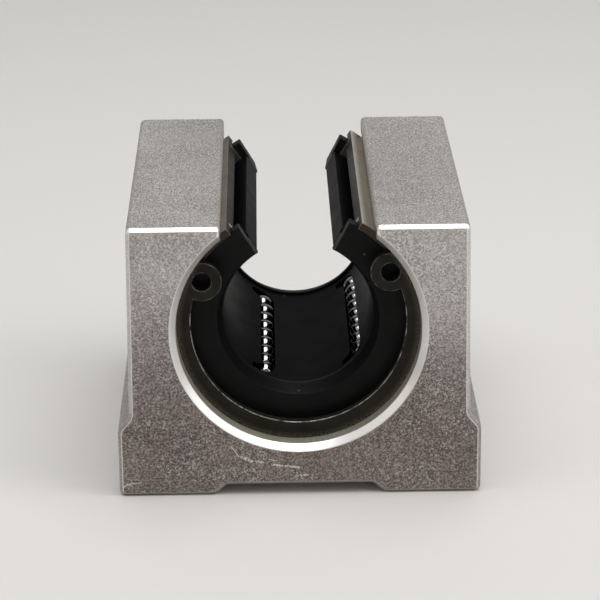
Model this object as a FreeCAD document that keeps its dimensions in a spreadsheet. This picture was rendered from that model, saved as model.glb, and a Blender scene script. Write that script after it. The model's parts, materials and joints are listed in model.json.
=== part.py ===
# Open linear bearing block for a 20 mm shaft on a support rail, in millimetres.
# It stands on its mounting face at z = 0, the shaft runs along Y and the slot opens upwards.
import FreeCAD, Part
import math
import os
import re

import Sketcher

# Each driving size: its alias, its value and what it is.
driving_sizes = [
    ("block_length", 50.0, "block along the shaft"),
    ("base_width", 48.0, "across the feet"),
    ("waist_width", 44.9, "across the walls just above the base"),
    ("top_width", 44.3, "across the tops of the walls"),
    ("base_edge_height", 9.5, "straight side of the base"),
    ("step_height", 1.8, "slope from the base in to the wall"),
    ("axis_height", 23.0, "shaft axis above the mounting face"),
    ("tower_rise", 14.5, "wall tops above the shaft axis"),
    ("tower_gap", 20.0, "between the two walls"),
    ("relief_width", 22.6, "mouth of the channel under the base"),
    ("relief_flank", 1.6, "run of each sloping side of that channel"),
    ("relief_depth", 1.4, "depth of that channel"),
    ("step_round", 1.5, "both bends of the step"),
    ("foot_round", 0.8, "edges of the feet"),
    ("top_round", 0.7, "outer top edges"),
    ("gap_round", 0.6, "edges of the walls beside the slot"),
    ("end_chamfer", 0.5, "outline of both end faces"),
    ("bore_chamfer", 0.87, "mouths of the bore"),
    ("bolt_spacing_x", 35.0, "mounting holes across"),
    ("bolt_spacing_y", 35.0, "mounting holes along"),
    ("bolt_core", 5.0, "core hole of the mounting thread"),
    ("bolt_depth", 12.0, "depth of the mounting holes"),
    ("shaft_diameter", 20.0, "shaft that runs through"),
    ("ball_diameter", 3.175, "bearing balls"),
    ("ball_play", 0.03, "free length beside each ball in its loop"),
    ("track_clearance", 0.0625, "between a ball and its channel"),
    ("return_lift", 1.1, "unloaded row further out than the loaded row"),
    ("row_angle", 11.0, "each row of a loop off the loop's middle"),
    ("loop_pitch", 72.0, "from one loop to the next"),
    ("first_loop", 72.0, "first loop from the slot"),
    ("land_width", 2.8, "raceway land"),
    ("sleeve_wall", 1.625, "sleeve outside the unloaded balls"),
    ("sleeve_fit", 0.02, "between sleeve and bore"),
    ("sleeve_slot", 33.5, "half angle of the slot in the sleeve"),
    ("sleeve_recess", 4.0, "end of the sleeve behind the end face"),
    ("rim_wall", 1.0, "sleeve round each seal"),
    ("seal_pocket", 4.0, "depth of each seal pocket"),
    ("seal_recess", 1.0, "seal face behind the end of the sleeve"),
    ("seal_flare", 0.7, "lip mouth wider than the shaft"),
    ("lip_land", 0.7, "length of lip that wipes the shaft"),
    ("cage_clearance", 0.3, "between cage and shaft"),
    ("cage_slot", 29.0, "half angle of the slot in cage and seals"),
    ("cage_end_wall", 0.6, "cage beyond the ends of the loops"),
    ("seat_gap", 0.05, "between pieces that seat together"),
    ("ring_thickness", 0.9, "stop ring along the shaft"),
    ("ring_bite", 0.35, "stop ring into its groove"),
    ("ring_overlap", 0.6, "stop ring over the end of the cage"),
    ("clip_thickness", 1.2, "circlip along the shaft"),
    ("clip_bite", 0.85, "circlip into its groove"),
    ("clip_width", 3.1, "circlip opposite its gap"),
    ("clip_thinning", 0.4, "centre of its inner edge above the axis"),
    ("lug_angle", 61.5, "each plier hole from the slot"),
    ("lug_inset", 2.0, "plier hole inside the bore"),
    ("lug_width", 5.3, "across each lug"),
    ("lug_hole", 2.5, "plier holes"),
    ("bearing_turn", -2.0, "bearing as it sits in the bore"),
    ("clip_turn", -2.4, "circlips as they sit in the bore"),
    ("screw_diameter", 5.0, "set screw in the wall"),
    ("screw_length", 5.0, "set screw"),
    ("screw_socket", 2.5, "hex socket across flats"),
    ("screw_socket_depth", 2.4, "hex socket"),
    ("screw_bevel", 0.5, "bevel of the set screw's outer end"),
]

# Sizes that follow from the driving ones.
following_sizes = [
    ("block_height", "axis_height + tower_rise"),
    ("shaft_radius", "shaft_diameter / 2"),
    ("ball_radius", "ball_diameter / 2"),
    ("loaded_radius", "shaft_radius + ball_radius"),
    ("return_radius", "loaded_radius + return_lift"),
    ("land_radius", "shaft_radius + ball_diameter"),
    ("relief_radius", "return_radius + ball_radius + 2 * seat_gap"),
    ("sleeve_radius", "relief_radius + sleeve_wall"),
    ("bore_radius", "sleeve_radius + sleeve_fit"),
    ("pocket_radius", "sleeve_radius - rim_wall"),
    ("sleeve_end", "block_length / 2 - sleeve_recess"),
    ("seal_face", "sleeve_end - seal_recess"),
    ("pocket_floor", "sleeve_end - seal_pocket"),
    ("ring_face", "pocket_floor + ring_thickness"),
    ("ring_radius", "pocket_radius + ring_bite - seat_gap"),
    ("cage_radius", "land_radius - 2 * seat_gap"),
    ("cage_bore", "shaft_radius + cage_clearance"),
    ("cage_end", "pocket_floor - seat_gap"),
    ("ring_bore", "cage_radius - ring_overlap"),
    ("channel_radius", "ball_radius + track_clearance"),
    ("channel_flat", "channel_radius * tan(22.5)"),
    ("loaded_angle", "first_loop - row_angle"),
    ("return_angle", "first_loop + row_angle"),
    ("loaded_x", "loaded_radius * sin(loaded_angle)"),
    ("loaded_z", "loaded_radius * cos(loaded_angle)"),
    ("return_x", "return_radius * sin(return_angle)"),
    ("return_z", "return_radius * cos(return_angle)"),
    ("loop_x", "(loaded_x + return_x) / 2"),
    ("loop_z", "(loaded_z + return_z) / 2"),
    ("loop_tilt", "atan2(return_z - loaded_z; return_x - loaded_x)"),
    ("turn_radius", "sqrt((return_x - loaded_x) ^ 2 + (return_z - loaded_z) ^ 2) / 2"),
    ("straight_length", "2 * (cage_end - cage_end_wall - turn_radius - channel_radius)"),
    ("clip_radius", "bore_radius + clip_bite - seat_gap"),
    ("clip_seat", "sleeve_end + seat_gap"),
    ("lug_radius", "bore_radius - lug_inset"),
    ("screw_seat", "sleeve_radius + seat_gap"),
]

loop_count = 4
ball_rings = 4
ball_sides = 7
steps_per_play = 3
near = 1e-4

doc = FreeCAD.newDocument("open_linear_bearing_block")
sheet = doc.addObject("Spreadsheet::Sheet", "Sizes")
working = doc.addObject("Spreadsheet::Sheet", "Working")
aliases = [entry[0] for entry in driving_sizes + following_sizes]


def fill_sheet():
    for row, (alias, value, meaning) in enumerate(driving_sizes, start=1):
        sheet.set(f"A{row}", meaning)
        sheet.set(f"B{row}", str(value))
        sheet.setAlias(f"B{row}", alias)
    for row, (alias, formula) in enumerate(following_sizes, start=len(driving_sizes) + 1):
        sheet.set(f"A{row}", formula)
        sheet.set(f"B{row}", "=" + formula)
        sheet.setAlias(f"B{row}", alias)
    doc.recompute()


def linked(text):
    return re.sub(r"[a-z_]+", lambda word: "Sizes." + word[0] if word[0] in aliases else word[0], text)


def size(text):
    working.set("A1", "=" + linked(text))
    working.recompute()
    return float(working.get("A1"))


def bind(target, path, text):
    target.setExpression(path, linked(text))


def placed(where, axis="0; 0; 1", turn="0"):
    return f"placement(vector({where}); rotation(vector({axis}); {turn}))"


def origin_part(body, role):
    return next(feature for feature in body.Origin.OriginFeatures if feature.Role == role)


def new_body(label, along="0", height="axis_height", turn="0"):
    body = doc.addObject("PartDesign::Body", label)
    body.Label = label
    bind(body, "Placement", placed(f"0; {along}; {height}", "0; 1; 0", turn))
    return body


def new_sketch(body, name, role, offset=None):
    sketch = body.newObject("Sketcher::SketchObject", name)
    sketch.AttachmentSupport = [(origin_part(body, role), "")]
    sketch.MapMode = "FlatFace"
    if offset:
        bind(sketch, "AttachmentOffset", offset)
    return sketch


def tie(sketch, kind, element, point, text):
    if text == "0":
        axis = -2 if kind == "DistanceX" else -1
        sketch.addConstraint(Sketcher.Constraint("PointOnObject", element, point, axis))
        return
    index = sketch.addConstraint(Sketcher.Constraint(kind, -1, 1, element, point, size(text)))
    bind(sketch, f"Constraints[{index}]", text)


def draw_polygon(sketch, corners):
    first = sketch.GeometryCount
    points = [FreeCAD.Vector(size(x), size(y), 0) for x, y in corners]
    for start, end in zip(points, points[1:] + points[:1]):
        sketch.addGeometry(Part.LineSegment(start, end), False)
    for index, (x, y) in enumerate(corners):
        before = first + (index - 1) % len(corners)
        sketch.addConstraint(Sketcher.Constraint("Coincident", before, 2, first + index, 1))
        tie(sketch, "DistanceX", first + index, 1, x)
        tie(sketch, "DistanceY", first + index, 1, y)


def draw_circle(sketch, x, y, radius):
    centre = FreeCAD.Vector(size(x), size(y), 0)
    circle = sketch.addGeometry(Part.Circle(centre, FreeCAD.Vector(0, 0, 1), size(radius)), False)
    tie(sketch, "DistanceX", circle, 3, x)
    tie(sketch, "DistanceY", circle, 3, y)
    index = sketch.addConstraint(Sketcher.Constraint("Radius", circle, size(radius)))
    bind(sketch, f"Constraints[{index}]", radius)


def draw_axis(sketch, height):
    level = size(height)
    line = Part.LineSegment(FreeCAD.Vector(-1, level, 0), FreeCAD.Vector(1, level, 0))
    axis = sketch.addGeometry(line, True)
    sketch.addConstraint(Sketcher.Constraint("Horizontal", axis))
    tie(sketch, "DistanceY", axis, 1, height)


def add(body, kind, name, profile, bindings, **settings):
    feature = body.newObject("PartDesign::" + kind, name)
    feature.Profile = profile
    for key, value in settings.items():
        setattr(feature, key, value)
    for path, text in bindings.items():
        bind(feature, path, text)
    doc.recompute()
    return feature


def dress(body, kind, name, base, edges, key, text):
    feature = body.newObject("PartDesign::" + kind, name)
    feature.Base = (base, edges)
    bind(feature, key, text)
    doc.recompute()
    return feature


def pattern_round_shaft(body, name, originals):
    pattern = body.newObject("PartDesign::PolarPattern", name)
    pattern.Originals = originals
    pattern.Axis = (origin_part(body, "Y_Axis"), [""])
    pattern.Occurrences = loop_count
    bind(pattern, "Angle", f"loop_pitch * {loop_count - 1}")
    body.Tip = pattern
    doc.recompute()
    return pattern


def edge_names(shape, wanted):
    return [f"Edge{number}" for number, edge in enumerate(shape.Edges, start=1) if wanted(edge)]


def runs_along_shaft(edge, x, z):
    ends = [vertex.Point for vertex in edge.Vertexes]
    return len(ends) == 2 and all(math.hypot(end.x - x, end.z - z) < near for end in ends)


def rounded_corners(body, name, base, corners, radius):
    places = [(size(x) * side, size(z)) for x, z in corners for side in (1, -1)]
    edges = edge_names(base.Shape, lambda edge: any(runs_along_shaft(edge, x, z) for x, z in places))
    return dress(body, "Fillet", name, base, edges, "Radius", radius)


def make_housing():
    body = new_body("housing", height="0")
    relief_root = ("relief_width / 2 - relief_flank", "relief_depth")
    relief_mouth = ("relief_width / 2", "0")
    foot = ("base_width / 2", "0")
    base_edge = ("base_width / 2", "base_edge_height")
    waist = ("waist_width / 2", "base_edge_height + step_height")
    top = ("top_width / 2", "block_height")
    right = [relief_root, relief_mouth, foot, base_edge, waist, top]
    left = [(f"-({x})", z) for x, z in reversed(right)]

    section = new_sketch(body, "housing_section", "XZ_Plane")
    draw_polygon(section, right + left)
    solid = add(body, "Pad", "housing_block", section, {"Length": "block_length"}, SideType="Symmetric")
    solid = rounded_corners(body, "step_rounds", solid, [base_edge, waist], "step_round")
    solid = rounded_corners(body, "foot_rounds", solid, [relief_root, relief_mouth, foot], "foot_round")
    solid = rounded_corners(body, "top_rounds", solid, [top], "top_round")

    end = size("block_length / 2")
    outline = edge_names(
        solid.Shape, lambda edge: all(abs(abs(vertex.Y) - end) < near for vertex in edge.Vertexes)
        and abs(edge.Vertexes[0].Y - edge.Vertexes[-1].Y) < near
    )
    dress(body, "Chamfer", "end_edges", solid, outline, "Size", "end_chamfer")

    gap = new_sketch(body, "gap_outline", "XZ_Plane")
    draw_polygon(gap, [
        ("-tower_gap / 2", "axis_height"),
        ("tower_gap / 2", "axis_height"),
        ("tower_gap / 2", "block_height + tower_rise"),
        ("-tower_gap / 2", "block_height + tower_rise"),
    ])
    solid = add(body, "Pocket", "gap", gap, {}, Type="ThroughAll", SideType="Symmetric")

    lip = size("tower_gap / 2")
    shoulder = size("axis_height")
    wall_edges = edge_names(
        solid.Shape, lambda edge: all(abs(abs(vertex.X) - lip) < near for vertex in edge.Vertexes)
        and max(vertex.Z for vertex in edge.Vertexes) > shoulder + near
    )
    dress(body, "Fillet", "gap_edges", solid, wall_edges, "Radius", "gap_round")

    bore = new_sketch(body, "bore_circle", "XZ_Plane")
    draw_circle(bore, "0", "axis_height", "bore_radius")
    add(body, "Pocket", "bore", bore, {}, Type="ThroughAll", SideType="Symmetric")

    mouths = new_sketch(body, "bore_mouths", "YZ_Plane")
    draw_axis(mouths, "axis_height")
    for side in ("", "-"):
        draw_polygon(mouths, [
            (f"{side}(block_length / 2 + bore_chamfer)", "axis_height - bore_radius - 2 * bore_chamfer"),
            (f"{side}(block_length / 2 - 2 * bore_chamfer)", "axis_height - bore_radius + bore_chamfer"),
            (f"{side}(block_length / 2 + bore_chamfer)", "axis_height - bore_radius + bore_chamfer"),
        ])
        draw_polygon(mouths, [
            (f"{side}sleeve_end", "axis_height - bore_radius - clip_bite"),
            (f"{side}(clip_seat + clip_thickness + seat_gap)", "axis_height - bore_radius - clip_bite"),
            (f"{side}(clip_seat + clip_thickness + seat_gap)", "axis_height - bore_radius + clip_bite"),
            (f"{side}sleeve_end", "axis_height - bore_radius + clip_bite"),
        ])
    add(body, "Groove", "mouths_and_clip_grooves", mouths, {}, ReferenceAxis=(mouths, ["Axis0"]), Angle=360)

    bolts = new_sketch(body, "bolt_places", "XY_Plane")
    for across in ("", "-"):
        for along in ("", "-"):
            draw_circle(bolts, f"{across}bolt_spacing_x / 2", f"{along}bolt_spacing_y / 2", "bolt_core / 2")
    doc.recompute()
    add(
        body, "Hole", "bolt_holes", bolts,
        {"Diameter": "bolt_core", "Depth": "bolt_depth"},
        DepthType="Dimension", DrillPoint="Flat", Reversed=True,
    )

    screw = new_sketch(body, "screw_place", "YZ_Plane")
    draw_circle(screw, "0", "axis_height", "screw_diameter / 2")
    add(body, "Pocket", "screw_hole", screw, {}, Type="ThroughAll", Reversed=True)
    return body


def revolve_open(body, name, sections, half_slot):
    # A ring about the shaft, open at the top by half_slot on each side.
    sketch = new_sketch(body, name + "_section", "YZ_Plane")
    for section in sections:
        draw_polygon(sketch, [(y, f"-({radius})") for y, radius in section])
    return add(
        body, "Revolution", name, sketch, {"Angle": f"360 - 2 * {half_slot}"},
        ReferenceAxis=(origin_part(body, "Y_Axis"), [""]), Midplane=True,
    )


def make_outer_sleeve():
    body = new_body("outer_sleeve", turn="bearing_turn")
    half = [
        ("sleeve_end", "sleeve_radius"),
        ("sleeve_end", "pocket_radius"),
        ("ring_face + seat_gap", "pocket_radius"),
        ("ring_face + seat_gap", "pocket_radius + ring_bite"),
        ("pocket_floor", "pocket_radius + ring_bite"),
        ("pocket_floor", "relief_radius"),
    ]
    mirrored = [(f"-({y})", radius) for y, radius in reversed(half)]
    revolve_open(body, "sleeve_tube", [half + mirrored], "sleeve_slot")

    land = new_sketch(body, "land_section", "YZ_Plane", placed("0; 0; 0", "1; 0; 0", "loaded_angle"))
    draw_polygon(land, [
        ("-straight_length / 2", "land_radius"),
        ("straight_length / 2", "land_radius"),
        ("straight_length / 2", "relief_radius + sleeve_wall / 2"),
        ("-straight_length / 2", "relief_radius + sleeve_wall / 2"),
    ])
    raceway = add(
        body, "Revolution", "raceway_land", land, {"Angle": "land_width / land_radius * 180 / pi"},
        ReferenceAxis=(origin_part(body, "Y_Axis"), [""]), Midplane=True,
    )
    pattern_round_shaft(body, "raceway_lands", [raceway])
    return body


def draw_channel(sketch, centre):
    # A flat bottom, two flanks at 45 degrees and upright walls, all touching the clearance round a ball.
    outside = "sleeve_wall + relief_radius - loaded_radius"
    draw_polygon(sketch, [
        (f"{centre} - channel_radius", outside),
        (f"{centre} - channel_radius", "-channel_flat"),
        (f"{centre} - channel_flat", "-channel_radius"),
        (f"{centre} + channel_flat", "-channel_radius"),
        (f"{centre} + channel_radius", "-channel_flat"),
        (f"{centre} + channel_radius", outside),
    ])


def make_ball_cage():
    body = new_body("ball_cage", turn="bearing_turn")
    tube = [
        ("cage_end", "cage_radius"),
        ("cage_end", "cage_bore"),
        ("-cage_end", "cage_bore"),
        ("-cage_end", "cage_radius"),
    ]
    revolve_open(body, "cage_tube", [tube], "cage_slot")

    rows = new_sketch(body, "row_channels", "XZ_Plane", placed("loop_x; loop_z; 0", turn="loop_tilt"))
    draw_channel(rows, "-turn_radius")
    draw_channel(rows, "turn_radius")
    features = [add(body, "Pocket", "rows", rows, {"Length": "straight_length"}, SideType="Symmetric")]
    for end, side, reverse in (("rear", "-", True), ("front", "", False)):
        place = placed(f"loop_x; loop_z; {side}straight_length / 2", turn="loop_tilt")
        bend = new_sketch(body, end + "_bend_channel", "XZ_Plane", place)
        draw_channel(bend, "-turn_radius")
        features.append(add(
            body, "Groove", end + "_bend", bend, {}, ReferenceAxis=(bend, ["V_Axis"]), Angle=180, Reversed=reverse
        ))
    pattern_round_shaft(body, "ball_loops", features)
    return body


def make_stop_ring(label, side):
    body = new_body(label, turn="bearing_turn")
    section = [
        (f"{side}(pocket_floor + seat_gap)", "ring_radius"),
        (f"{side}ring_face", "ring_radius"),
        (f"{side}ring_face", "ring_bore"),
        (f"{side}(pocket_floor + seat_gap)", "ring_bore"),
    ]
    revolve_open(body, label + "_ring", [section], "sleeve_slot")
    return body


def make_seal(label, side):
    body = new_body(label, turn="bearing_turn")
    back = f"{side}(pocket_floor + seat_gap)"
    shoulder = f"{side}(ring_face + seat_gap)"
    face = f"{side}seal_face"
    section = [
        (face, "pocket_radius - seat_gap"),
        (face, "shaft_radius + seal_flare"),
        (f"{side}(pocket_floor + seat_gap + lip_land)", "shaft_radius"),
        (back, "shaft_radius"),
        (back, "ring_bore - 2 * seat_gap"),
        (shoulder, "ring_bore - 2 * seat_gap"),
        (shoulder, "pocket_radius - seat_gap"),
    ]
    revolve_open(body, label + "_ring", [section], "cage_slot")
    return body


def make_circlip(label, side):
    body = new_body(label, along=f"{side}(clip_seat + clip_thickness / 2)", turn="clip_turn")
    thickness = {"Length": "clip_thickness"}

    ring = new_sketch(body, label + "_edges", "XZ_Plane")
    draw_circle(ring, "0", "0", "clip_radius")
    draw_circle(ring, "0", "clip_thinning", "clip_radius - clip_width + clip_thinning")
    add(body, "Pad", label + "_ring", ring, thickness, SideType="Symmetric")

    opening = new_sketch(body, label + "_opening", "XZ_Plane")
    reach = "2 * clip_radius"
    draw_polygon(opening, [
        ("0", "0"),
        (f"{reach} * sin(lug_angle)", f"{reach} * cos(lug_angle)"),
        (f"{reach} * sin(lug_angle)", reach),
        (f"-{reach} * sin(lug_angle)", reach),
        (f"-{reach} * sin(lug_angle)", f"{reach} * cos(lug_angle)"),
    ])
    add(body, "Pocket", label + "_gap", opening, {}, Type="ThroughAll", SideType="Symmetric")

    lugs = new_sketch(body, label + "_lug_outlines", "XZ_Plane")
    holes = new_sketch(body, label + "_hole_circles", "XZ_Plane")
    for hand in ("", "-"):
        draw_circle(lugs, f"{hand}lug_radius * sin(lug_angle)", "lug_radius * cos(lug_angle)", "lug_width / 2")
        draw_circle(holes, f"{hand}lug_radius * sin(lug_angle)", "lug_radius * cos(lug_angle)", "lug_hole / 2")
    add(body, "Pad", label + "_lugs", lugs, thickness, SideType="Symmetric")
    add(body, "Pocket", label + "_holes", holes, {}, Type="ThroughAll", SideType="Symmetric")
    return body


def make_set_screw():
    body = new_body("set_screw")
    radius = "(screw_diameter / 2 - seat_gap)"
    shank = new_sketch(body, "screw_profile", "XY_Plane")
    draw_polygon(shank, [
        ("screw_seat", "0"),
        ("screw_seat + screw_length", "0"),
        ("screw_seat + screw_length", f"{radius} - screw_bevel"),
        ("screw_seat + screw_length - screw_bevel", radius),
        ("screw_seat", radius),
    ])
    add(body, "Revolution", "screw_shank", shank, {}, ReferenceAxis=(origin_part(body, "X_Axis"), [""]), Angle=360)

    socket = new_sketch(body, "socket_hexagon", "YZ_Plane", placed("0; 0; screw_seat + screw_length"))
    draw_polygon(socket, [
        (f"screw_socket / 2 / cos(30) * cos({60 * corner + 30})", f"screw_socket / 2 / cos(30) * sin({60 * corner + 30})")
        for corner in range(6)
    ])
    add(body, "Pocket", "socket", socket, {"Length": "screw_socket_depth"})
    return body


def make_ball(radius):
    # Flat triangles between staggered rings of points, every point on the true ball.
    def on_ball(ring, step):
        height = math.pi * (ring + 1) / (ball_rings + 1)
        angle = 2 * math.pi * (step + ring / 2) / ball_sides
        flat = radius * math.sin(height)
        return FreeCAD.Vector(flat * math.cos(angle), flat * math.sin(angle), radius * math.cos(height))

    top = FreeCAD.Vector(0, 0, radius)
    bottom = FreeCAD.Vector(0, 0, -radius)
    last = ball_rings - 1
    triangles = []
    for step in range(ball_sides):
        triangles.append((top, on_ball(0, step), on_ball(0, step + 1)))
        triangles.append((bottom, on_ball(last, step + 1), on_ball(last, step)))
        for ring in range(last):
            triangles.append((on_ball(ring, step), on_ball(ring + 1, step), on_ball(ring, step + 1)))
            triangles.append((on_ball(ring, step + 1), on_ball(ring + 1, step), on_ball(ring + 1, step + 1)))
    faces = [Part.Face(Part.makePolygon([*corners, corners[0]])) for corners in triangles]
    return Part.Solid(Part.Shell(faces))


def ball_places():
    # Ball after ball along the first loop, each against the one before, from the front of the loaded row.
    straight = size("straight_length")
    radius = size("turn_radius")
    pitch = size("ball_diameter + ball_play")
    step = size("ball_play") / steps_per_play
    bend = math.pi * radius
    length = 2 * (straight + bend)

    def on_loop(run):
        if run <= straight:
            return FreeCAD.Vector(-radius, run - straight / 2, 0)
        if run <= straight + bend:
            angle = (run - straight) / radius
            return FreeCAD.Vector(-radius * math.cos(angle), straight / 2 + radius * math.sin(angle), 0)
        if run <= 2 * straight + bend:
            return FreeCAD.Vector(radius, 1.5 * straight + bend - run, 0)
        angle = (length - run) / radius
        return FreeCAD.Vector(-radius * math.cos(angle), -straight / 2 - radius * math.sin(angle), 0)

    places = [on_loop(0)]
    for number in range(int(length / step)):
        place = on_loop(number * step)
        if all(place.distanceToPoint(other) >= pitch for other in (places[0], places[-1])):
            places.append(place)
    return places


def make_ball_rows():
    ball = make_ball(size("ball_radius"))
    row_end = size("straight_length / 2")
    tilt = math.radians(size("loop_tilt"))
    across = FreeCAD.Vector(math.cos(tilt), 0, math.sin(tilt))
    middle = FreeCAD.Vector(size("loop_x"), 0, size("loop_z"))
    seat = FreeCAD.Rotation(FreeCAD.Vector(0, 1, 0), size("bearing_turn"))
    groups = []
    for loop in range(loop_count):
        turn = FreeCAD.Rotation(FreeCAD.Vector(0, 1, 0), size("loop_pitch") * loop)
        rows = {"loaded_balls": [], "return_balls": []}
        for place in ball_places():
            row = "loaded_balls" if place.x < 0 and abs(place.y) <= row_end else "return_balls"
            centre = turn.multVec(middle + across * place.x + FreeCAD.Vector(0, place.y, 0))
            rows[row].append(ball.translated(centre))
        for row, balls in rows.items():
            label = f"{row}_{loop + 1}"
            group = doc.addObject("Part::Feature", label)
            group.Label = label
            group.Shape = Part.makeCompound(balls)
            group.Placement = FreeCAD.Placement(FreeCAD.Vector(0, 0, size("axis_height")), seat)
            groups.append(group)
    return groups


def write_parts(parts):
    doc.recompute()
    for item in doc.Objects:
        if "Invalid" in item.State or "Error" in item.State:
            raise RuntimeError(f"{item.Label} did not rebuild: {item.State}")
    for part in parts:
        if part.Shape.isNull() or not part.Shape.isValid():
            raise RuntimeError(f"{part.Label} has no valid shape")
    os.makedirs("parts", exist_ok=True)
    for part in parts:
        part.Shape.exportStep(f"parts/{part.Label}.step")
        print(part.Label, len(part.Shape.Solids), "solids", round(part.Shape.Volume, 1), "mm3")


fill_sheet()
pieces = [
    make_housing(),
    make_set_screw(),
    make_outer_sleeve(),
    make_ball_cage(),
    make_stop_ring("front_stop_ring", "-"),
    make_stop_ring("rear_stop_ring", ""),
    make_seal("front_seal", "-"),
    make_seal("rear_seal", ""),
    make_circlip("front_circlip", "-"),
    make_circlip("rear_circlip", ""),
    *make_ball_rows(),
]
write_parts(pieces)
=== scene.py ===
import json
import math

import bpy
from mathutils import Matrix, Vector

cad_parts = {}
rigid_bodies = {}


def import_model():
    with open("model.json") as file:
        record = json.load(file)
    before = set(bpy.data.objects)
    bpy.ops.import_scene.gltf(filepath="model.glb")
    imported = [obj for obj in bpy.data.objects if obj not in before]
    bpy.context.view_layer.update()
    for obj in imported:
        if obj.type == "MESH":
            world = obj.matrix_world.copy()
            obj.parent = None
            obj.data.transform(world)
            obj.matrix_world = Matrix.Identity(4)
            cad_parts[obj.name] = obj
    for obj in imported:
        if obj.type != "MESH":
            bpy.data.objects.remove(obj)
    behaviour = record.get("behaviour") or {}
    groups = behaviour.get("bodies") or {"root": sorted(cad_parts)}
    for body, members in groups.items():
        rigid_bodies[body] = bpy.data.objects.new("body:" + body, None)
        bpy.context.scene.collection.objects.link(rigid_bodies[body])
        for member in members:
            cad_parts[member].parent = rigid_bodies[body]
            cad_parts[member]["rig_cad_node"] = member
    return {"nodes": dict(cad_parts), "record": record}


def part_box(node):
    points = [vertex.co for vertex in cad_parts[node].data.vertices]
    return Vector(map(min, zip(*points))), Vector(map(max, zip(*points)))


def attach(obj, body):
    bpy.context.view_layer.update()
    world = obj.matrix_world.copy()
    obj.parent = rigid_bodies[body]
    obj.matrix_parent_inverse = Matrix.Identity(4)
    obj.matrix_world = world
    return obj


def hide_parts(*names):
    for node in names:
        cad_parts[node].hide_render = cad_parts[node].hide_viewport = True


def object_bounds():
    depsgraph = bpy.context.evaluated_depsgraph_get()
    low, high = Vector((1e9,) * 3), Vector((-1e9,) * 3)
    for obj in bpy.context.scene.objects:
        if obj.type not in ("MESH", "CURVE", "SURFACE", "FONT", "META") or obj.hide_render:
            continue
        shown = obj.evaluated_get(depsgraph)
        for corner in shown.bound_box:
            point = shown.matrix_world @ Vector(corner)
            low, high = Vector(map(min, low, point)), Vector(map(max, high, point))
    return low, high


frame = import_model()
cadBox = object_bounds()
nodes = frame["nodes"]
mounts = {mount["name"]: mount for mount in frame["record"]["mounts"]}
slotOf = {part["node"]: part["material_slot"] for part in frame["record"]["subparts"]}
shaftAxis = Vector(mounts["shaft_bore"]["pos_m"])
blockLow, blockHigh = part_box("housing")
mm = 0.001
print("frame:", len(nodes), "nodes, block", [round(side / mm, 2) for side in blockHigh - blockLow], "mm")


class Wire:
    # an output socket; sums, differences and products of wires add Math nodes
    def __init__(self, look, socket):
        self.look = look
        self.socket = socket

    def __add__(self, other):
        return self.look.math("ADD", self, other)

    def __radd__(self, other):
        return self.look.math("ADD", other, self)

    def __sub__(self, other):
        return self.look.math("SUBTRACT", self, other)

    def __rsub__(self, other):
        return self.look.math("SUBTRACT", other, self)

    def __mul__(self, other):
        return self.look.math("MULTIPLY", self, other)

    def __rmul__(self, other):
        return self.look.math("MULTIPLY", other, self)


class Look:
    # one material and the nodes in it
    def __init__(self, name):
        self.material = bpy.data.materials.new(name)
        self.material.use_nodes = True
        self.tree = self.material.node_tree
        self.tree.nodes.clear()
        self.place = self.node("TexCoord", output="Object")

    def node(self, kind, settings=None, inputs=None, output=0):
        made = self.tree.nodes.new("ShaderNode" + kind)
        for key, value in (settings or {}).items():
            setattr(made, key, value)
        for key, value in (inputs or {}).items():
            if isinstance(value, Wire):
                self.tree.links.new(value.socket, made.inputs[key])
            else:
                made.inputs[key].default_value = value
        if isinstance(output, tuple):
            return [Wire(self, made.outputs[key]) for key in output]
        return Wire(self, made.outputs[output])

    def math(self, operation, *values):
        return self.node("Math", {"operation": operation}, dict(enumerate(values)))

    def vector(self, operation, first, second, output=0):
        return self.node("VectorMath", {"operation": operation}, {0: first, 1: second}, output)

    def larger(self, first, second):
        return self.math("MAXIMUM", first, second)

    def rise(self, value, low, high):
        limits = {"Value": value, "From Min": low, "From Max": high}
        return self.node("MapRange", {"interpolation_type": "SMOOTHSTEP"}, limits)

    def mix(self, share, first, second, blend="MIX"):
        settings = {"data_type": "RGBA", "blend_type": blend}
        return self.node("Mix", settings, {0: share, 6: first, 7: second}, 2)

    def noise(self, scale, detail, roughness, place=None):
        inputs = {"Vector": place or self.place, "Scale": scale, "Detail": detail, "Roughness": roughness}
        return self.node("TexNoise", None, inputs)

    def lines(self, stretch, detail, roughness):
        # a noise drawn out to fine lines
        place = self.node("Mapping", None, {"Vector": self.place, "Scale": stretch})
        return self.noise(1.0, detail, roughness, place)

    def patches(self, noise, ramp):
        # a noise that is 0 below the ramp and 1 above it
        return self.rise(self.noise(*noise), *ramp)

    def dots(self, scale, share, size):
        # round dots in a share of the cells of a loose grid
        place = {"Vector": self.place, "Scale": scale}
        distance, tint = self.node("TexVoronoi", None, place, ("Distance", "Color"))
        chance = self.node("SeparateColor", None, {0: tint}, "Red")
        return (1 - self.rise(distance, size * 0.6, size)) * self.rise(chance, 1 - share - 0.01, 1 - share)

    def mark(self, name):
        return self.node("Attribute", {"attribute_name": name}, None, "Fac")

    def bump(self, height, depth, strength=1.0):
        return self.node("Bump", None, {"Height": height, "Distance": depth, "Strength": strength})

    def surface(self, **sockets):
        inputs = {key.replace("_", " "): value for key, value in sockets.items()}
        shader = self.node("BsdfPrincipled", None, inputs)
        self.node("OutputMaterial", None, {"Surface": shader}, ())
        return self.material


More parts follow.
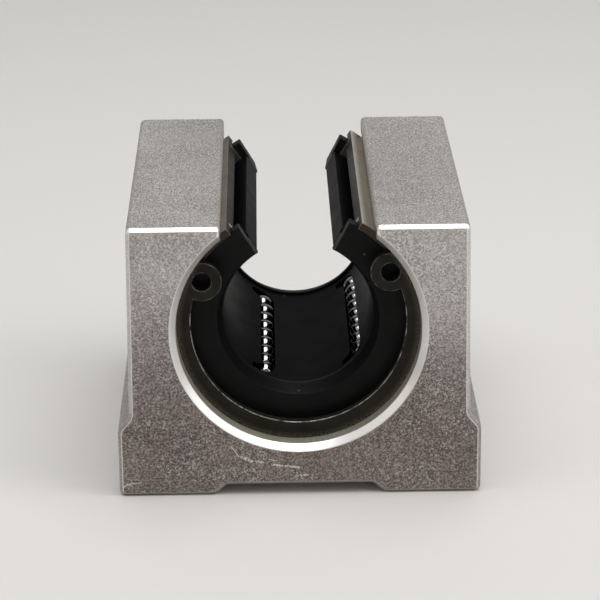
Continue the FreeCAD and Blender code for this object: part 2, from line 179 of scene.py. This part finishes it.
# in the finishes, a noise is its scale or stretch, its detail and its roughness,
# and a ramp is where it starts and ends
housingFinish = {
    "pale": (0.79, 0.76, 0.73, 1),
    "deep": (0.21, 0.192, 0.18, 1),
    "brown": (0.235, 0.182, 0.165, 1),
    # painted shade: this tone darkens and browns the block towards its foot
    "footShade": (0.41, 0.355, 0.34, 1),
    # near white, for the painted glints of the grain and for the strokes on the front
    "spark": (0.97, 0.955, 0.93, 1),
    "polished": (0.88, 0.87, 0.85, 1),
    "turned": (0.40, 0.385, 0.345, 1),
    "olive": (0.46, 0.44, 0.37, 1),
    "grain": (5200, 4, 0.7),
    "grainRamp": (0.36, 0.64),
    "flecks": (4300, 2, 0.6),
    "fleckRamp": (0.36, 0.6),
    "sparkRamp": (0.56, 0.66),
    "clusters": (420, 3, 0.6),
    "clusterRamp": (0.4, 0.62),
    "outsideClusters": 0.3,
    "blotches": (110, 4, 0.6),
    "blotchRamp": (0.3, 0.7),
    "blotchShare": 0.22,
    "tints": (60, 3, 0.5),
    "tintRamp": (0.35, 0.65),
    "tintShare": 0.2,
    "turning": ((200, 5200, 200), 3, 0.6),
    "level": 0.51,
    # heights between which a painted shade darkens the block towards its foot, and how much on the sides and
    # more on the ends
    "footShadeRamp": (8 * mm, 36 * mm),
    "sideFootShade": 0.3,
    "endFootShade": 0.6,
    # contrast of the grain and share of sparks, the painted glints, with what the foot and the top faces add
    "contrast": 0.42,
    "footContrast": 0.45,
    "topContrast": 0.5,
    "sparkShare": 0.5,
    "footSparks": -0.1,
    "topSparks": 0.2,
    "roughness": 0.40,
    "grainRough": 0.16,
    "markRough": -0.14,
    "polishRough": -0.04,
    "mouthRough": 0.16,
    "grainRelief": 0.8,
    "sparkRelief": 0.25,
    "turnedRelief": 0.1,
    "reliefDepth": 0.17 * mm,
}
frontMarks = {
    # strokes on the front face: both ends across and up, and the width, in mm
    "scratches": (
        ((-9.1, 7.1), (-8.1, 5.6), 0.11), ((-4.1, 5.1), (-3.1, 4.9), 0.1),
        ((-23.4, 1.4), (-22.9, 1.8), 0.12), ((-22.9, 1.8), (-21.1, 2.0), 0.1),
    ),
    "scuffs": (
        ((-7.7, 5.5), (-6.4, 4.9), 0.55), ((-5.8, 4.8), (-4.9, 4.7), 0.3), ((-3.7, 4.4), (-2.3, 4.1), 0.4),
        ((-1.9, 4.1), (-0.2, 3.9), 0.4), ((-0.4, 2.7), (1.0, 2.8), 0.3),
    ),
    "softness": (0.2, 0.5),  # shares of the width between which a stroke fades
    "ragged": (3400, 3, 0.7),
    "raggedRamp": (0.41, 0.57),
    "scuffShare": 0.9,
}


def stroke(look, ends, width):
    # how near a point is to a straight stroke on the front face
    first, last = (Vector((across * mm, blockLow.y, up * mm)) for across, up in ends)
    along = last - first
    away = look.vector("SUBTRACT", look.place, first)
    pace = along / along.length_squared
    share = look.vector("DOT_PRODUCT", away, pace, "Value")
    share = look.node("Clamp", None, {"Value": share})
    foot = look.node("VectorMath", {"operation": "SCALE"}, {0: along, "Scale": share})
    reach = look.vector("DISTANCE", away, foot, "Value")
    full, gone = frontMarks["softness"]
    return 1 - look.rise(reach, width * mm * full, width * mm * gone)


def frontStrokes(look):
    given = frontMarks
    ragged = look.patches(given["ragged"], given["raggedRamp"]) * given["scuffShare"]
    marks = 0
    for *ends, width in given["scratches"]:
        marks = look.larger(marks, stroke(look, ends, width))
    for *ends, width in given["scuffs"]:
        marks = look.larger(marks, stroke(look, ends, width) * ragged)
    return marks


def blastedAluminium():
    given = housingFinish
    look = Look("sandblasted_aluminium")
    polished = look.mark("polished")
    turned = look.mark("turned")
    mouth = look.mark("mouth")
    endShade = look.mark("endShade")
    top = look.mark("top")
    height = look.node("SeparateXYZ", None, {0: look.place}, "Z")
    # painted shade: darker towards the foot, a little on the sides and most on the front end; it also sets
    # the grain's contrast and sparks there
    low = 1 - look.rise(height, *given["footShadeRamp"])
    low = low * (given["sideFootShade"] + endShade * given["endFootShade"])

    # bright flecks of the grain painted near white as glints, thicker in clusters, more on the top faces and
    # fewer at the foot, and the strokes on the front
    grain = look.noise(*given["grain"])
    flecks = look.noise(*given["flecks"])
    clusters = look.patches(given["clusters"], given["clusterRamp"])
    outside = given["outsideClusters"]
    sparks = look.rise(flecks, *given["sparkRamp"]) * (outside + clusters * (1 - outside))
    sparkShare = given["sparkShare"] + low * given["footSparks"] + top * given["topSparks"]
    marks = look.larger(sparks * sparkShare, frontStrokes(look))

    # light and dark grains over wider blotches, and a painted shade that makes the block darker and browner
    # towards the foot
    contrast = given["contrast"] + low * given["footContrast"] + top * given["topContrast"]
    coarse = look.rise(grain, *given["grainRamp"]) + look.rise(flecks, *given["fleckRamp"]) - 1
    blotch = look.patches(given["blotches"], given["blotchRamp"]) * given["blotchShare"]
    tint = look.patches(given["tints"], given["tintRamp"]) * given["tintShare"]
    colour = look.mix(coarse * contrast + blotch + given["level"], given["deep"], given["pale"])
    colour = look.mix(tint, colour, given["brown"])
    colour = look.mix(low, colour, given["footShade"], "MULTIPLY")
    colour = look.mix(mouth, colour, given["olive"])
    colour = look.mix(marks, colour, given["spark"])

    # turning marks in the bore, then the polished mouths and edges, and the painted highlights on the side
    # and foot edges
    lines = look.lines(*given["turning"])
    colour = look.mix(turned, colour, look.mix(lines, given["deep"], given["turned"]))
    colour = look.mix(polished, colour, given["polished"])
    blasted = (1 - polished) * (1 - turned)
    roughness = (grain * given["grainRough"] + marks * given["markRough"]) * blasted + given["roughness"]
    roughness = roughness + polished * given["polishRough"] + mouth * given["mouthRough"]
    relief = (grain * given["grainRelief"] + sparks * given["sparkRelief"]) * blasted
    relief = relief + lines * turned * given["turnedRelief"]
    return look.surface(
        Base_Color=colour, Metallic=1.0, Roughness=roughness, Normal=look.bump(relief, given["reliefDepth"])
    )


sleeveFinish = {
    "steel": (0.91, 0.855, 0.775, 1),
    "stain": (0.76, 0.675, 0.59, 1),
    # near black: a painted shade on the cut faces
    "scale": (0.055, 0.044, 0.034, 1),
    "grinding": ((250, 4200, 250), 3, 0.6),
    "stains": (260, 3, 0.55),
    "stainRamp": (0.35, 0.75),
    "roughness": 0.22,
    "lineRough": 0.14,
    "stainRough": 0.06,
    "cutRough": 0.12,
    "lineDepth": 0.006 * mm,
}


def groundSteel(name):
    given = sleeveFinish
    look = Look(name)
    # painted shade: the cut faces get the near black tone
    cutShade = look.mark("cutShade")
    lines = look.lines(*given["grinding"])
    stain = look.patches(given["stains"], given["stainRamp"])
    colour = look.mix(stain, given["steel"], given["stain"])
    roughness = given["roughness"] + lines * given["lineRough"] + stain * given["stainRough"]
    return look.surface(
        Base_Color=look.mix(cutShade, colour, given["scale"]), Metallic=1.0,
        Roughness=roughness + cutShade * given["cutRough"],
        Normal=look.bump(lines, given["lineDepth"]),
    )


cageFinish = {
    "black": (0.003, 0.003, 0.0033, 1),
    "dust": (0.28, 0.27, 0.25, 1),
    "flow": (300, 2, 0.5),
    "flowRamp": (0.3, 0.7),
    "specks": (700, 0.05, 0.1),  # scale, share of the cells and size
    "speckShare": 0.6,
    "gloss": 0.015,
    "roughness": 0.36,
    "flowRough": 0.05,
    "speckRough": 0.4,
    "flowDepth": 0.01 * mm,
    "flowStrength": 0.1,
}


def cagePlastic():
    given = cageFinish
    look = Look("black_moulded_plastic")
    flow = look.noise(*given["flow"])
    specks = look.dots(*given["specks"])
    colour = look.mix(specks * given["speckShare"], given["black"], given["dust"])
    roughness = given["roughness"] + look.rise(flow, *given["flowRamp"]) * given["flowRough"]
    return look.surface(
        Base_Color=colour, Specular_IOR_Level=given["gloss"],
        Roughness=roughness + specks * given["speckRough"],
        Normal=look.bump(flow, given["flowDepth"], given["flowStrength"]),
    )


sealFinish = {
    "black": (0.006, 0.006, 0.006, 1),
    "dust": (0.30, 0.29, 0.27, 1),
    "grain": (4200, 2, 0.6),
    "bloom": (240, 3, 0.6),
    "bloomRamp": (0.3, 0.7),
    "specks": (800, 0.06, 0.1),  # scale, share of the cells and size
    "speckShare": 0.6,
    "gloss": 0.1,
    "roughness": 0.36,
    "bloomRough": 0.14,
    "speckRough": 0.3,
    "grainDepth": 0.012 * mm,
    "grainStrength": 0.5,
}


def sealRubber():
    given = sealFinish
    look = Look("black_seal_rubber")
    grain = look.noise(*given["grain"])
    bloom = look.patches(given["bloom"], given["bloomRamp"])
    specks = look.dots(*given["specks"])
    colour = look.mix(specks * given["speckShare"], given["black"], given["dust"])
    return look.surface(
        Base_Color=colour, Specular_IOR_Level=given["gloss"],
        Roughness=given["roughness"] + bloom * given["bloomRough"] + specks * given["speckRough"],
        Normal=look.bump(grain, given["grainDepth"], given["grainStrength"]),
    )


clipFinish = {
    "black": (0.013, 0.011, 0.008, 1),
    "olive": (0.125, 0.114, 0.082, 1),
    "worn": (0.46, 0.44, 0.40, 1),
    "crystals": (3600, 3, 0.65),
    "crystalRamp": (0.3, 0.6),
    "patches": (300, 3, 0.6),
    "patchRamp": (0.35, 0.75),
    "patchShare": 0.1,
    "rimRamp": (15.0 * mm, 16.3 * mm),
    "wear": (900, 4, 0.7),
    "wearRamp": (0.38, 0.62),
    "metal": 0.3,
    "gloss": 0.2,
    "roughness": 0.40,
    "crystalRough": 0.2,
    "wearRough": -0.15,
    "crystalDepth": 0.012 * mm,
    "crystalStrength": 0.6,
}


def phosphatedSteel():
    given = clipFinish
    look = Look("phosphated_spring_steel")
    crystal = look.noise(*given["crystals"])
    patch = look.patches(given["patches"], given["patchRamp"]) * given["patchShare"]
    flat = look.vector("MULTIPLY", look.place, (1, 0, 1))
    reach = look.vector("DISTANCE", flat, (0, 0, shaftAxis.z), "Value")
    rim = look.rise(reach, *given["rimRamp"])  # thinner coat towards the rim
    thin = rim * look.rise(crystal, *given["crystalRamp"])
    scuff = look.mark("worn") * look.patches(given["wear"], given["wearRamp"])
    colour = look.mix(patch + thin, given["black"], given["olive"])
    return look.surface(
        Base_Color=look.mix(scuff, colour, given["worn"]), Specular_IOR_Level=given["gloss"],
        Metallic=given["metal"] + scuff * (1 - given["metal"]),
        Roughness=given["roughness"] + crystal * given["crystalRough"] + scuff * given["wearRough"],
        Normal=look.bump(crystal, given["crystalDepth"], given["crystalStrength"]),
    )


ballFinish = {
    "steel": (0.40, 0.40, 0.41, 1),
    "film": (0.33, 0.32, 0.30, 1),
    # near black edge tint: a painted dark reflection at the balls' rims
    "edge": (0.05, 0.05, 0.05, 1),
    "films": (700, 3, 0.5),
    "filmRamp": (0.45, 0.75),
    "roughness": 0.05,
    "filmRough": 0.06,
}


def polishedSteel():
    given = ballFinish
    look = Look("polished_ball_steel")
    film = look.patches(given["films"], given["filmRamp"])
    return look.surface(
        Base_Color=look.mix(film, given["steel"], given["film"]), Metallic=1.0, Specular_Tint=given["edge"],
        Roughness=given["roughness"] + film * given["filmRough"],
    )


screwFinish = {
    "black": (0.018, 0.018, 0.019, 1),
    "bare": (0.30, 0.29, 0.28, 1),
    "wear": (900, 4, 0.6),
    "wearRamp": (0.55, 0.8),
    "metal": 0.8,
    "roughness": 0.34,
    "wearRough": 0.12,
}


def blackOxide():
    given = screwFinish
    look = Look("black_oxide_steel")
    wear = look.patches(given["wear"], given["wearRamp"])
    return look.surface(
        Base_Color=look.mix(wear, given["black"], given["bare"]), Metallic=given["metal"],
        Roughness=given["roughness"] + wear * given["wearRough"],
    )


finishes = {
    "housing": blastedAluminium(),
    "sleeve": groundSteel("ground_steel"),
    "stop_ring": groundSteel("plain_ring_steel"),
    "cage": cagePlastic(),
    "seal": sealRubber(),
    "circlip": phosphatedSteel(),
    "set_screw": blackOxide(),
    "balls": polishedSteel(),
}
print("finishes:", len(finishes))

skinShape = {
    "merge": 0.002 * mm,
    "flatAngle": math.radians(0.6),
    "sharpAngle": math.radians(25),
    "smoothAngle": math.radians(40),
}


def deselect():
    if bpy.context.mode != "OBJECT":
        bpy.ops.object.mode_set(mode="OBJECT")
    bpy.ops.object.select_all(action="DESELECT")


def pick(piece):
    deselect()
    piece.select_set(True)
    bpy.context.view_layer.objects.active = piece


def applyPlace():
    bpy.ops.object.transform_apply(location=True, rotation=True, scale=True)


def copyOf(nodeName, merge=skinShape["merge"]):
    # a copy of a CAD node, its triangles merged into one closed skin with whole flat faces
    pick(nodes[nodeName])
    bpy.ops.object.duplicate()
    piece = bpy.context.active_object
    del piece["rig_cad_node"]
    bpy.ops.object.mode_set(mode="EDIT")
    bpy.ops.mesh.select_all(action="SELECT")
    bpy.ops.mesh.remove_doubles(threshold=merge)
    bpy.ops.mesh.dissolve_limited(angle_limit=skinShape["flatAngle"])
    bpy.ops.mesh.customdata_custom_splitnormals_clear()
    bpy.ops.object.mode_set(mode="OBJECT")
    return piece


def sharpEdges(piece):
    pick(piece)
    bpy.ops.object.mode_set(mode="EDIT")
    bpy.ops.mesh.select_mode(type="EDGE")
    bpy.ops.mesh.select_all(action="DESELECT")
    bpy.ops.mesh.edges_select_sharp(sharpness=skinShape["sharpAngle"])
    bpy.ops.object.mode_set(mode="OBJECT")
    return [edge for edge in piece.data.edges if edge.select]


def edgeMiddle(piece, edge):
    first, last = (piece.data.vertices[end].co for end in edge.vertices)
    return (first + last) / 2


def roundEdges(piece, width, steps, wanted=None):
    # rounds the sharp edges whose middle passes the test
    chosen = sharpEdges(piece)
    if wanted:
        chosen = [edge for edge in chosen if wanted(edgeMiddle(piece, edge))]
    for parts in (piece.data.vertices, piece.data.edges, piece.data.polygons):
        parts.foreach_set("select", [False] * len(parts))
    for edge in chosen:
        edge.select = True
    bpy.ops.object.mode_set(mode="EDIT")
    bpy.ops.mesh.bevel(offset=width, segments=steps, affect="EDGES", clamp_overlap=False)
    bpy.ops.object.mode_set(mode="OBJECT")


def smoothShade(piece):
    pick(piece)
    bpy.ops.object.shade_smooth_by_angle(angle=skinShape["smoothAngle"])
    flat = piece.modifiers.new("flat faces stay flat", "WEIGHTED_NORMAL")
    flat.keep_sharp = True
    bpy.ops.object.modifier_apply(modifier=flat.name)


def markFaces(piece, name, share):
    # a face attribute, from 0 to 1 by the centre and normal of each face
    layer = piece.data.attributes.new(name, "FLOAT", "FACE")
    values = [float(share(face.center, face.normal)) for face in piece.data.polygons]
    layer.data.foreach_set("value", values)


def dressPiece(piece, name, slot):
    piece.name = name
    piece.data.name = name
    piece.data.materials.clear()
    piece.data.materials.append(finishes[slot])
    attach(piece, "root")


def standFor(piece, name, nodeName):
    dressPiece(piece, name, slotOf[nodeName])
    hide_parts(nodeName)


def makeRounded(nodeName, name, shape, marks=None):
    # a piece that is its CAD node with rounded edges
    piece = copyOf(nodeName)
    roundEdges(piece, shape["round"], shape["steps"])
    for mark, share in (marks or {}).items():
        markFaces(piece, mark, share)
    smoothShade(piece)
    standFor(piece, name, nodeName)


housingShape = {
    "merge": 0.05 * mm,
    "endRound": 0.1 * mm,
    "endSteps": 3,
    "edgeRound": 0.1 * mm,
    "edgeSteps": 2,
    "endBand": 1.0 * mm,
    "topBand": 0.7 * mm,
    "boreReach": 17.2 * mm,
    "mouthFrom": 22.4 * mm,
    # how far a face's normal leans along the shaft, upwards or downwards
    "bevelSlopes": (0.2, 0.98),
    "lineSlope": 0.78,
    "endSlope": 0.6,
    "topSlope": 0.9,
    "footSlope": -0.2,
    # shares of polish, then the painted highlight on the foot edges, on the side edges at the foot, and what
    # the side edges gain up to the top
    "linePolish": 0.8,
    "footHighlight": 0.3,
    "sideHighlight": 0.15,
    "sideHighlightGain": 0.45,
    "rearFootShade": 0.3,
}


def inBore(point):
    distance = math.hypot(point.x - shaftAxis.x, point.z - shaftAxis.z)
    return distance < housingShape["boreReach"]


def atEnd(point):
    return abs(point.y) > blockHigh.y - housingShape["endBand"]


def atTop(point):
    return point.z > blockHigh.z - housingShape["topBand"]


def polishAndHighlightOf(centre, normal):
    # bright polished bore mouths and top edges, a bright line along the other end edges, and a painted
    # highlight on the foot edges and on the side edges, growing towards the top
    shape = housingShape
    slope = abs(normal.y)
    least, most = shape["bevelSlopes"]
    if not atEnd(centre) or not least < slope < most:
        return 0
    if inBore(centre) or atTop(centre):
        return 1
    if normal.z < shape["footSlope"]:
        # painted highlight on the foot edges
        return shape["footHighlight"]
    if slope > shape["lineSlope"]:
        return shape["linePolish"]
    # painted highlight on the side edges, brighter towards the top
    return shape["sideHighlight"] + shape["sideHighlightGain"] * centre.z / blockHigh.z


def endShadeOf(centre, normal):
    # how much of the painted shade towards the foot the two end faces get, the rear one less
    if abs(normal.y) < housingShape["endSlope"] or not atEnd(centre):
        return 0
    return 1 if centre.y < 0 else housingShape["rearFootShade"]


def topFace(centre, normal):
    return normal.z > housingShape["topSlope"] and atTop(centre)


def turnedBore(centre, normal):
    return inBore(centre) and abs(centre.y) < housingShape["mouthFrom"]


def boreMouth(centre, normal):
    shape = housingShape
    return inBore(centre) and abs(centre.y) > shape["mouthFrom"] and abs(normal.y) < shape["bevelSlopes"][0]


def outerEdge(middle):
    return not atEnd(middle) and not inBore(middle)


def makeHousing():
    shape = housingShape
    housing = copyOf("housing", shape["merge"])
    roundEdges(housing, shape["endRound"], shape["endSteps"], atEnd)
    roundEdges(housing, shape["edgeRound"], shape["edgeSteps"], outerEdge)
    marks = {"polished": polishAndHighlightOf, "endShade": endShadeOf, "top": topFace, "turned": turnedBore, "mouth": boreMouth}
    for mark, share in marks.items():
        markFaces(housing, mark, share)
    smoothShade(housing)
    standFor(housing, "blasted_housing", "housing")


sleeveShape = {"round": 0.1 * mm, "steps": 2, "slotSlope": 0.4, "sideSlope": 0.2, "endSlope": 0.9}
cageShape = {"round": 0.08 * mm, "steps": 2}


def cutFace(centre, normal):
    # the faces where the sleeve is cut, its two ends and both sides of its slot, which get a painted shade
    # of near black
    shape = sleeveShape
    along = abs(normal.y)
    outwards = Vector((centre.x - shaftAxis.x, 0, centre.z - shaftAxis.z)).normalized()
    sideways = abs(normal.dot(outwards)) < shape["slotSlope"] and along < shape["sideSlope"]
    slotSide = sideways and centre.z > shaftAxis.z
    return slotSide or along > shape["endSlope"]


def makeBearing():
    makeRounded("outer_sleeve", "ground_sleeve", sleeveShape, {"cutShade": cutFace})
    makeRounded("ball_cage", "moulded_cage", cageShape)


sealShape = {"round": 0.15 * mm, "steps": 3}
ringShape = {"round": 0.12 * mm, "steps": 3, "wornSlopes": (0.1, 0.98), "lugsAbove": 2 * mm, "lugWear": 0.3}


def wornEdge(centre, normal):
    # the rounded edges of a retaining ring, less worn on its lugs
    least, most = ringShape["wornSlopes"]
    if not least < abs(normal.y) < most:
        return 0
    return ringShape["lugWear"] if centre.z > shaftAxis.z + ringShape["lugsAbove"] else 1


def makeEnds():
    for end in ("front", "rear"):
        makeRounded(end + "_seal", end + "_wiper_seal", sealShape)
        makeRounded(end + "_circlip", end + "_retaining_ring", ringShape, {"worn": wornEdge})
        ring = nodes[end + "_stop_ring"]
        ring.material_slots[0].material = finishes["stop_ring"]


screwShape = {"round": 0.1 * mm, "steps": 2}


def makeScrew():
    makeRounded("set_screw", "socket_set_screw", screwShape)


threadShape = {
    "pitch": 1.0 * mm,
    "ridge": 0.2 * mm,
    "broad": 2.2,
    "sunk": 0.03 * mm,
    "steps": 32,
    "turns": 10,
    "from": 0.9 * mm,
}


def modelThread():
    # a three-cornered ridge beside the hole's axis, wound upwards
    shape = threadShape
    core = mounts["base_bolts"]["dims"]["hole_r_mm"] * mm
    deselect()
    bpy.ops.mesh.primitive_circle_add(
        vertices=3, radius=shape["ridge"], location=(core + shape["sunk"] - shape["ridge"] / 2, 0, 0),
        rotation=(math.radians(90), math.radians(-90), 0),
    )
    thread = bpy.context.active_object
    applyPlace()
    bpy.ops.object.mode_set(mode="EDIT")
    bpy.ops.mesh.select_all(action="SELECT")
    bpy.ops.transform.resize(value=(1, 1, shape["broad"]))
    bpy.ops.object.mode_set(mode="OBJECT")
    winding = thread.modifiers.new("winding", "SCREW")
    winding.screw_offset = shape["pitch"]
    winding.iterations = shape["turns"]
    winding.steps = shape["steps"]
    winding.render_steps = shape["steps"]
    bpy.ops.object.modifier_apply(modifier=winding.name)
    bpy.ops.object.mode_set(mode="EDIT")
    bpy.ops.mesh.select_all(action="SELECT")
    bpy.ops.mesh.fill_holes(sides=3)
    bpy.ops.mesh.select_all(action="SELECT")
    bpy.ops.mesh.normals_make_consistent(inside=False)
    bpy.ops.object.mode_set(mode="OBJECT")
    return thread


def makeThreads():
    first = modelThread()
    bolts = mounts["base_bolts"]["dims"]
    for side, across in (("left", -1), ("right", 1)):
        for end, along in (("front", -1), ("rear", 1)):
            pick(first)
            bpy.ops.object.duplicate()
            thread = bpy.context.active_object
            thread.location.x = across * bolts["spacing_x_mm"] / 2 * mm
            thread.location.y = along * bolts["spacing_y_mm"] / 2 * mm
            thread.location.z = threadShape["from"]
            applyPlace()
            dressPiece(thread, "mounting_thread_" + side + "_" + end, "housing")
    pick(first)
    bpy.ops.object.delete()


ballShape = {"cuts": 8}


def ballCentres(nodeName):
    # each loose solid of a copy of the node, by the middle of its corners, and the balls' radius
    copy = copyOf(nodeName)
    bpy.ops.object.mode_set(mode="EDIT")
    bpy.ops.mesh.select_all(action="SELECT")
    bpy.ops.mesh.separate(type="LOOSE")
    bpy.ops.object.mode_set(mode="OBJECT")
    bpy.ops.object.origin_set(type="ORIGIN_GEOMETRY", center="MEDIAN")
    centres = [piece.matrix_world.translation.copy() for piece in bpy.context.selected_objects]
    radius = max(vertex.co.length for vertex in copy.data.vertices)
    bpy.ops.object.delete()
    return centres, radius


def modelBall(radius):
    # a cube, divided and blown up to a ball
    deselect()
    bpy.ops.mesh.primitive_cube_add(size=radius)
    ball = bpy.context.active_object
    bpy.ops.object.mode_set(mode="EDIT")
    bpy.ops.mesh.subdivide(number_cuts=ballShape["cuts"])
    bpy.ops.object.mode_set(mode="OBJECT")
    cast = ball.modifiers.new("ball", "CAST")
    cast.factor = 1
    cast.use_radius_as_size = False
    cast.size = radius
    bpy.ops.object.modifier_apply(modifier=cast.name)
    bpy.ops.object.shade_smooth()
    return ball


def makeRow(ball, nodeName):
    row = []
    for centre in ballCentres(nodeName)[0]:
        pick(ball)
        bpy.ops.object.duplicate()
        row.append(bpy.context.active_object)
        row[-1].location = centre
    deselect()
    for copy in row:
        copy.select_set(True)
    bpy.context.view_layer.objects.active = row[0]
    bpy.ops.object.join()
    applyPlace()
    standFor(bpy.context.active_object, "polished_" + nodeName, nodeName)


def makeBalls():
    rows = [node for node, slot in slotOf.items() if slot == "balls"]
    first = modelBall(ballCentres(rows[0])[1])
    for nodeName in rows:
        makeRow(first, nodeName)
    pick(first)
    bpy.ops.object.delete()
    return len(rows)


makeHousing()
makeBearing()
makeEnds()
makeScrew()
makeThreads()
rowCount = makeBalls()
print("pieces: housing, sleeve, cage, seals, rings, set screw, threads and", rowCount, "rows of balls")


floorFinish = {
    "pale": (0.80, 0.787, 0.77, 1),
    "shade": (0.77, 0.757, 0.74, 1),
    "clouds": (3, 2, 0.5),
    "size": 6.0,
    "roughness": 0.6,
}


def makeFloor():
    given = floorFinish
    look = Look("pale_floor")
    colour = look.mix(look.noise(*given["clouds"]), given["pale"], given["shade"])
    deselect()
    bpy.ops.mesh.primitive_plane_add(size=given["size"], location=(0, 0, cadBox[0].z))
    floor = bpy.context.active_object
    floor.name = "floor"
    floor.data.materials.append(look.surface(Base_Color=colour, Roughness=given["roughness"]))


cameraLook = {
    "target": (0.164 * mm, -25 * mm, 27.565 * mm),
    "distance": 326.541 * mm,
    "azimuth": -0.859,
    "elevation": 20.504,
    "roll": -0.488,
    "focalPixels": 2527.4,
    "framePixels": 600,
    "sensor": 36,
    "nearest": 0.01,
    "farthest": 50,
}


def makeCamera():
    given = cameraLook
    around = math.radians(given["azimuth"])
    above = math.radians(given["elevation"])
    roll = math.radians(given["roll"])
    back = Vector((math.sin(around) * math.cos(above), -math.cos(around) * math.cos(above), math.sin(above)))
    right = Vector((math.cos(around), math.sin(around), 0))
    up = back.cross(right)
    rolledRight = right * math.cos(roll) + up * math.sin(roll)
    rolledUp = up * math.cos(roll) - right * math.sin(roll)
    turn = Matrix((rolledRight, rolledUp, back)).transposed()
    place = Vector(given["target"]) + back * given["distance"]
    bpy.ops.object.camera_add()
    camera = bpy.context.active_object
    camera.matrix_world = Matrix.Translation(place) @ turn.to_4x4()
    camera.data.sensor_width = given["sensor"]
    camera.data.lens = given["focalPixels"] / given["framePixels"] * given["sensor"]
    camera.data.clip_start = given["nearest"]
    camera.data.clip_end = given["farthest"]
    bpy.context.scene.camera = camera


lightLook = {
    "aim": (0, 0, 25 * mm),
    "lamps": {
        # name: place, width, depth, watts, colour
        "overhead": ((0.03, -0.05, 0.52), 0.48, 0.48, 1.9, (1, 0.99, 0.97)),
        "left": ((-0.50, -0.16, 0.36), 0.40, 0.62, 0.56, (1, 0.96, 0.92)),
        "right": ((0.50, -0.16, 0.36), 0.40, 0.62, 1.10, (1, 0.96, 0.92)),
        "behind": ((0, 0.55, 0.30), 0.9, 0.26, 0.25, (1, 1, 1)),
    },
    "world": (0.72, 0.73, 0.74, 1),
    "worldStrength": 0.34,
}


def makeLights():
    given = lightLook
    for name, (place, width, depth, watts, colour) in given["lamps"].items():
        bpy.ops.object.light_add(type="AREA", location=place)
        lamp = bpy.context.active_object
        lamp.name = name + "_lamp"
        lamp.rotation_euler = (Vector(place) - Vector(given["aim"])).to_track_quat("Z", "Y").to_euler()
        lamp.data.shape = "RECTANGLE"
        lamp.data.size = width
        lamp.data.size_y = depth
        lamp.data.energy = watts
        lamp.data.color = colour
        lamp.visible_camera = False
    world = bpy.data.worlds.new("studio")
    world.use_nodes = True
    background = world.node_tree.nodes["Background"]
    background.inputs["Color"].default_value = given["world"]
    background.inputs["Strength"].default_value = given["worldStrength"]
    bpy.context.scene.world = world


makeFloor()
makeCamera()
makeLights()
bpy.context.scene.view_settings.view_transform = "Standard"
deselect()
print("studio: floor, camera and", len(lightLook["lamps"]), "lamps")
